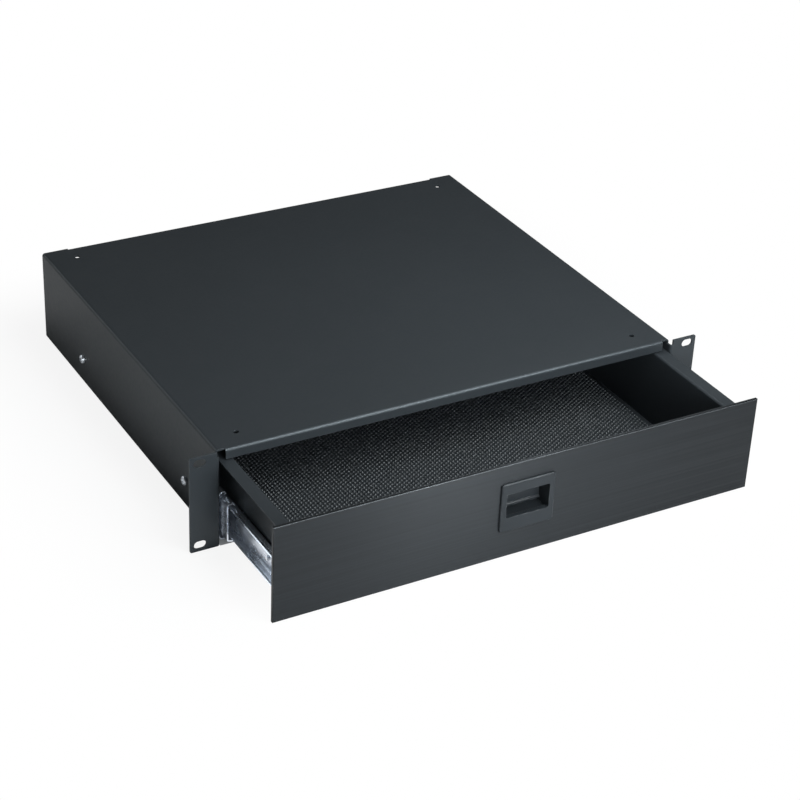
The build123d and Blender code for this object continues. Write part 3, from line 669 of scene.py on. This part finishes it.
def beaded_mat():
    """Rubber liner with domed beads in staggered rows that run from front to rear."""
    low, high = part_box("drawer_mat")
    top = Vector((high.x, high.y, low.z + MAT_BASE * (high.z - low.z)))
    points, faces = rounded_slab(low, top, MAT_CORNER, MAT_EDGE)
    one_points, one_faces = bead(BEAD_SIDES, BEAD_RADIUS, top.z - BEAD_SUNK, high.z)
    row_pitch = BEAD_PITCH * sqrt(3) / 2
    rows = int((high.x - low.x - 2 * MAT_BORDER) / row_pitch)
    along = int((high.y - low.y - 2 * MAT_BORDER) / BEAD_PITCH)
    first_x = (low.x + high.x - (rows - 1) * row_pitch) / 2
    first_y = (low.y + high.y - (along - 0.5) * BEAD_PITCH) / 2
    for row in range(rows):
        for step in range(along):
            x = first_x + row * row_pitch
            y = first_y + (step + row % 2 / 2) * BEAD_PITCH
            start = len(points)
            points.extend((x + px, y + py, pz) for px, py, pz in one_points)
            faces.extend(tuple(start + n for n in face) for face in one_faces)
    mesh = bpy.data.meshes.new("beaded_mat")
    mesh.from_pydata(points, [], faces)
    new_piece("beaded_mat", shaded(mesh, MAT_CREASE), "drawer", "mat_rubber", "drawer_mat")


# Fasteners


def lathe(name, profile, sides):
    """A solid turned about Z from a profile of radius and height, closed at both ends."""
    turns = [2 * pi * n / sides for n in range(sides)]
    points = [(radius * cos(t), radius * sin(t), z) for radius, z in profile for t in turns]
    return mesh_of(name, points, capped_faces(sides, len(profile)))


def cross_recess(radius, top_z, depth):
    """Cutter for a cross recess: a plus-shaped prism that narrows downward."""
    reach = radius * RECESS_HALF_LENGTH
    width = radius * RECESS_HALF_WIDTH
    outline = []
    for c, s in ((1, 0), (0, 1), (-1, 0), (0, -1)):
        for a, b in ((reach, -width), (reach, width), (width, width)):
            outline.append((a * c - b * s, a * s + b * c))
    levels = ((top_z - depth, RECESS_FOOT), (top_z + depth, RECESS_MOUTH))
    points = [(x * share, y * share, z) for z, share in levels for x, y in outline]
    return mesh_of("recess", points, capped_faces(len(outline), 2))


def headed_screw(head_radius, head_height, shank_radius, shank_length, crown):
    """Screw along Z with its seat at zero: a domed head with a cross recess, on a plain shank."""
    side_z = head_height * (1 - crown)
    flat_radius = head_radius * HEAD_FLAT
    profile = [(shank_radius, -shank_length), (shank_radius, 0.0), (head_radius, 0.0)]
    profile.append((head_radius, side_z * HEAD_SIDE))
    for n in range(HEAD_RINGS + 1):
        turn = pi / 2 * n / HEAD_RINGS
        radius = flat_radius + (head_radius - flat_radius) * cos(turn)
        profile.append((radius, side_z + (head_height - side_z) * sin(turn)))
    blank = lathe("screw_blank", profile, HEAD_SIDES)
    return cut_from(blank, cross_recess(head_radius, head_height, head_height * RECESS_DEPTH))


def side_screws(name, node, body, seat_side, crown):
    """Screws across the side walls, heads outward or inward, set where the solids have them."""
    head_height, shank_radius = SCREW_SIZES[node]
    placed = []
    for (low, high), twist in zip(islands(node), SCREW_TURNS):
        middle = (low + high) / 2
        way = seat_side if middle.x > 0 else -seat_side
        shank_length = high.x - low.x - head_height
        screw = headed_screw((high.z - low.z) / 2, head_height, shank_radius, shank_length, crown)
        tip_x = high.x if way > 0 else low.x
        seat = Vector((tip_x - way * head_height, middle.y, middle.z))
        turned = Matrix.Rotation(way * pi / 2, 4, "Y") @ Matrix.Rotation(twist, 4, "Z")
        placed.append((screw, Matrix.Translation(seat) @ turned))
    mesh = shaded(joined(name, placed), SCREW_CREASE)
    new_piece(name, mesh, body, "zinc_fasteners", node)


def threaded_stud(low, high):
    """One stud along Y with a rolled thread that fades at its tip."""
    middle = (low + high) / 2
    radius = (high.x - low.x) / 2
    length = high.y - low.y
    count = int(length / THREAD_PITCH * THREAD_STEPS)
    points = []
    for ring in range(count + 1):
        along = length * ring / count
        to_tip = min(1.0, (length - along) / THREAD_PITCH)
        narrowed = STUD_POINT + (1 - STUD_POINT) * to_tip
        for n in range(THREAD_SIDES):
            share = n / THREAD_SIDES
            phase = (along / THREAD_PITCH - share) % 1.0
            r = (radius - THREAD_DEPTH * abs(2 * phase - 1)) * narrowed
            turn = 2 * pi * share
            points.append((middle.x + r * cos(turn), low.y + along, middle.z + r * sin(turn)))
    return mesh_of("stud", points, capped_faces(THREAD_SIDES, count + 1))


def threaded_studs():
    """Studs on the back of the face."""
    placed = [(threaded_stud(low, high), Matrix.Identity(4)) for low, high in islands("face_studs")]
    mesh = shaded(joined("threaded_studs", placed), STUD_CREASE)
    new_piece("threaded_studs", mesh, "drawer", "zinc_fasteners", "face_studs")


def flange_nut(low, high):
    """One nut along Y: a washer foot, six flats with chamfered corners and a bore."""
    middle = (low + high) / 2
    washer_radius = (high.x - low.x) / 2
    height = high.y - low.y
    corner = NUT_ACROSS_FLATS / 2 / cos(pi / 6)
    flat = NUT_ACROSS_FLATS / 2
    profile = (
        (washer_radius, 0.0, False),
        (washer_radius, NUT_WASHER_EDGE, False),
        (corner, NUT_WASHER_HEIGHT, True),
        (corner, height - NUT_CHAMFER, True),
        (flat, height, True),
        (NUT_BORE + NUT_BORE_CHAMFER, height, False),
        (NUT_BORE, height - NUT_BORE_CHAMFER, False),
        (NUT_BORE, 0.0, False),
    )
    sides = 6 * NUT_STEPS
    points = []
    for radius, along, six_sided in profile:
        for n in range(sides):
            turn = 2 * pi * n / sides
            within = turn % (pi / 3) - pi / 6
            r = min(radius, flat / cos(within)) if six_sided else radius
            points.append((middle.x + r * cos(turn), low.y + along, middle.z + r * sin(turn)))
    return mesh_of("nut", points, ring_faces(sides, len(profile), closed=True))


def flange_nuts():
    """Nuts that hold the face."""
    placed = [(flange_nut(low, high), Matrix.Identity(4)) for low, high in islands("face_nuts")]
    mesh = shaded(joined("flange_nuts", placed), NUT_CREASE)
    new_piece("flange_nuts", mesh, "drawer", "zinc_fasteners", "face_nuts")


# Balls and spring


def round_balls(side, row):
    """The bearing balls of one cage, as true spheres."""
    node = side + "_" + row + "_balls"
    work = bmesh.new()
    for low, high in islands(node):
        place = Matrix.Translation((low + high) / 2)
        bmesh.ops.create_uvsphere(
            work, u_segments=BALL_SEGMENTS, v_segments=BALL_RINGS, radius=BALL_RADII[row], matrix=place
        )
    mesh = bpy.data.meshes.new(node + "_round")
    work.to_mesh(mesh)
    work.free()
    mesh.shade_smooth()
    new_piece(node + "_round", mesh, side + "_" + row + "_bearing", "ball_steel", node)


def coil_spring():
    """Spring under the bolt: round wire, its end turns closed up."""
    middle, size = part_size("bolt_spring")
    low_z = middle.z - size.z / 2 + SPRING_WIRE
    rise = size.z - 2 * SPRING_WIRE
    radius = size.x / 2 - SPRING_WIRE
    count = SPRING_TURNS * SPRING_STEPS
    steepest = rise / (pi * radius * SPRING_TURNS)
    points = []
    for step in range(count + 1):
        share = step / count
        turn = 2 * pi * SPRING_TURNS * share
        height = rise * (share - sin(2 * pi * share) / (2 * pi))
        lean = steepest * (1 - cos(2 * pi * share)) / 2
        for n in range(WIRE_SIDES):
            around = 2 * pi * n / WIRE_SIDES
            out = radius + SPRING_WIRE * cos(around)
            side = -SPRING_WIRE * sin(around) * lean
            points.append((
                middle.x + out * cos(turn) - side * sin(turn),
                middle.y + out * sin(turn) + side * cos(turn),
                low_z + height + SPRING_WIRE * sin(around),
            ))
    mesh = mesh_of("coil_spring", points, capped_faces(WIRE_SIDES, count + 1))
    shaded(mesh, SPRING_CREASE)
    piece = new_piece("coil_spring", mesh, "drawer", "spring_steel", "bolt_spring")
    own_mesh(piece)


beaded_mat()
side_screws("pan_head_screws", "chassis_slide_screws", "chassis", 1, PAN_CROWN)
side_screws("low_head_screws", "drawer_slide_screws", "drawer", -1, LOW_CROWN)
threaded_studs()
flange_nuts()
for side in ("left", "right"):
    for row in ("outer", "inner"):
        round_balls(side, row)
coil_spring()


# Floor, light and camera


def seen_by(tree):
    """Masks for the rays of the camera or through clear things, and for mirrored rays."""
    rays = wired(tree, "ShaderNodeLightPath").outputs
    direct = combined(tree, "MAXIMUM", rays["Is Camera Ray"], rays["Is Transmission Ray"])
    return direct, rays["Is Glossy Ray"]


def distance_past(tree, axis, sign, limit):
    """How far a point of the floor lies past a limit along one axis, or zero."""
    spot = wired(tree, "ShaderNodeSeparateXYZ", {"Vector": place_on_object(tree)})
    along = combined(tree, "MULTIPLY", spot.outputs[axis], sign)
    return combined(tree, "MAXIMUM", combined(tree, "SUBTRACT", along, limit), 0.0)


def distance_outside(tree, half_x, half_y):
    """How far a point of the floor lies outside the chassis."""
    place = wired(tree, "ShaderNodeVectorMath", {0: place_on_object(tree)}, operation="ABSOLUTE")
    beyond = {0: place.outputs["Vector"], 1: (half_x, half_y, 0.0)}
    past = wired(tree, "ShaderNodeVectorMath", beyond, operation="SUBTRACT").outputs["Vector"]
    kept = wired(tree, "ShaderNodeVectorMath", {0: past, 1: (0.0, 0.0, 0.0)}, operation="MAXIMUM")
    reach = wired(tree, "ShaderNodeVectorMath", {0: kept.outputs["Vector"]}, operation="LENGTH")
    return reach.outputs["Value"]


def floor_material(half_x, half_y):
    """White floor that keeps a soft shadow near the drawer and is plain white beyond it."""
    material = bpy.data.materials.new("floor_white")
    material.use_nodes = True
    tree = material.node_tree
    tree.nodes.clear()
    out = tree.nodes.new("ShaderNodeOutputMaterial")
    grey = (FLOOR_COLOUR, FLOOR_COLOUR, FLOOR_COLOUR, 1)
    lit = wired(tree, "ShaderNodeBsdfDiffuse", {"Color": grey})
    white = wired(tree, "ShaderNodeEmission", {"Color": (1, 1, 1, 1), "Strength": 1.0})
    reach = distance_outside(tree, half_x, half_y)
    outside = combined(tree, "GREATER_THAN", reach, 0.0)
    plain = ranged(tree, reach, 0.0, SHADOW_REACH, 1 - SHADOW_SHARE, 1.0, "SMOOTHSTEP")
    foot, fade_start, fade_end = OPEN_BAND
    ahead = distance_past(tree, "Y", -1.0, half_y)
    rise = ranged(tree, ahead, 0.0, foot, 0.0, 1.0, "SMOOTHSTEP")
    fade = ranged(tree, ahead, fade_start, fade_end, 1.0, MIRRORED_ENDS, "SMOOTHSTEP")
    past_rear = distance_past(tree, "Y", 1.0, half_y)
    at_rear = ranged(tree, past_rear, 0.0, MIRRORED_NEAR, 0.0, MIRRORED_ENDS, "SMOOTHSTEP")
    mirrored_ends = combined(tree, "MAXIMUM", combined(tree, "MULTIPLY", rise, fade), at_rear)
    mirrored_sides = ranged(tree, reach, SHADOW_REACH, MIRRORED_FAR, 0.0, 1.0, "SMOOTHSTEP")
    mirrored_plain = combined(tree, "MAXIMUM", mirrored_ends, mirrored_sides)
    direct, mirrored = seen_by(tree)
    straight_share = combined(tree, "MULTIPLY", combined(tree, "MULTIPLY", plain, outside), direct)
    mirrored_share = combined(tree, "MULTIPLY", mirrored_plain, mirrored)
    share = combined(tree, "ADD", straight_share, mirrored_share)
    mixed = wired(tree, "ShaderNodeMixShader", {0: share, 1: lit.outputs[0], 2: white.outputs[0]})
    clear = wired(tree, "ShaderNodeBsdfTransparent")
    under = wired(tree, "ShaderNodeNewGeometry").outputs["Backfacing"]
    both = wired(tree, "ShaderNodeMixShader", {0: under, 1: mixed.outputs[0], 2: clear.outputs[0]})
    tree.links.new(both.outputs[0], out.inputs["Surface"])
    return material


def floor():
    """Large plain floor at the height that the chassis stands on."""
    low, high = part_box("chassis_shell")
    wall_low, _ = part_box("left_outer_rail")
    half_x = -wall_low.x
    half_y = (high.y - low.y) / 2
    signs = ((-1, -1), (1, -1), (1, 1), (-1, 1))
    mesh = bpy.data.meshes.new("floor")
    mesh.from_pydata([(FLOOR_HALF * sx, FLOOR_HALF * sy, 0) for sx, sy in signs], [], [(0, 1, 2, 3)])
    sheet = bpy.data.objects.new("floor", mesh)
    sheet.location = (0.0, (low.y + high.y) / 2, solid_bounds[0].z)
    sheet.data.materials.append(floor_material(half_x, half_y))
    bpy.context.scene.collection.objects.link(sheet)


def surroundings():
    """Pale sky where it is seen or mirrored, and a softer even light on the drawer."""
    world = bpy.data.worlds.new("surroundings")
    world.use_nodes = True
    tree = world.node_tree
    back = tree.nodes["Background"]
    way = wired(tree, "ShaderNodeTexCoord").outputs["Generated"]
    height = wired(tree, "ShaderNodeSeparateXYZ", {"Vector": way}).outputs["Z"]
    sky = ranged(tree, height, SKY_BOTTOM, SKY_TOP, 1.0, SKY_SHARE, "SMOOTHSTEP")
    direct, mirrored = seen_by(tree)
    strength = ranged(tree, direct, 0.0, 1.0, ranged(tree, mirrored, 0.0, 1.0, AMBIENT, sky), 1.0)
    back.inputs["Color"].default_value = (1, 1, 1, 1)
    tree.links.new(strength, back.inputs["Strength"])
    bpy.context.scene.world = world


def lamp(name, place, aim, width, height, power, only_mirrored):
    """A soft rectangular lamp, which may show only as a gleam on bends and edges."""
    light = bpy.data.lights.new(name, "AREA")
    light.shape = "RECTANGLE"
    light.size = width
    light.size_y = height
    light.energy = power
    light.color = LAMP_COLOUR
    holder = bpy.data.objects.new(name, light)
    holder.location = place
    holder.rotation_mode = "QUATERNION"
    holder.rotation_quaternion = (Vector(aim) - Vector(place)).to_track_quat("-Z", "Y")
    holder.visible_camera = False
    holder.visible_diffuse = not only_mirrored
    bpy.context.scene.collection.objects.link(holder)


def camera():
    """Camera at the photograph's place, with its small roll."""
    level = cos(CAMERA_ELEVATION)
    forward = Vector((sin(CAMERA_AZIMUTH) * level, cos(CAMERA_AZIMUTH) * level, -sin(CAMERA_ELEVATION)))
    right = forward.cross(Vector((0, 0, 1))).normalized()
    up = right.cross(forward)
    rolled_right = cos(CAMERA_ROLL) * right + sin(CAMERA_ROLL) * up
    rolled_up = -sin(CAMERA_ROLL) * right + cos(CAMERA_ROLL) * up
    turn = Matrix((rolled_right, rolled_up, -forward)).transposed()
    data = bpy.data.cameras.new("camera")
    data.lens = LENS
    data.sensor_width = SENSOR
    data.clip_start = CAMERA_NEAR
    data.clip_end = CAMERA_FAR
    eye = bpy.data.objects.new("camera", data)
    eye.matrix_world = Matrix.Translation(CAMERA_PLACE) @ turn.to_4x4()
    bpy.context.scene.collection.objects.link(eye)
    bpy.context.scene.camera = eye


floor()
surroundings()
for name, values in LAMPS.items():
    lamp(name, *values)
camera()
bpy.context.scene.view_settings.view_transform = "Standard"
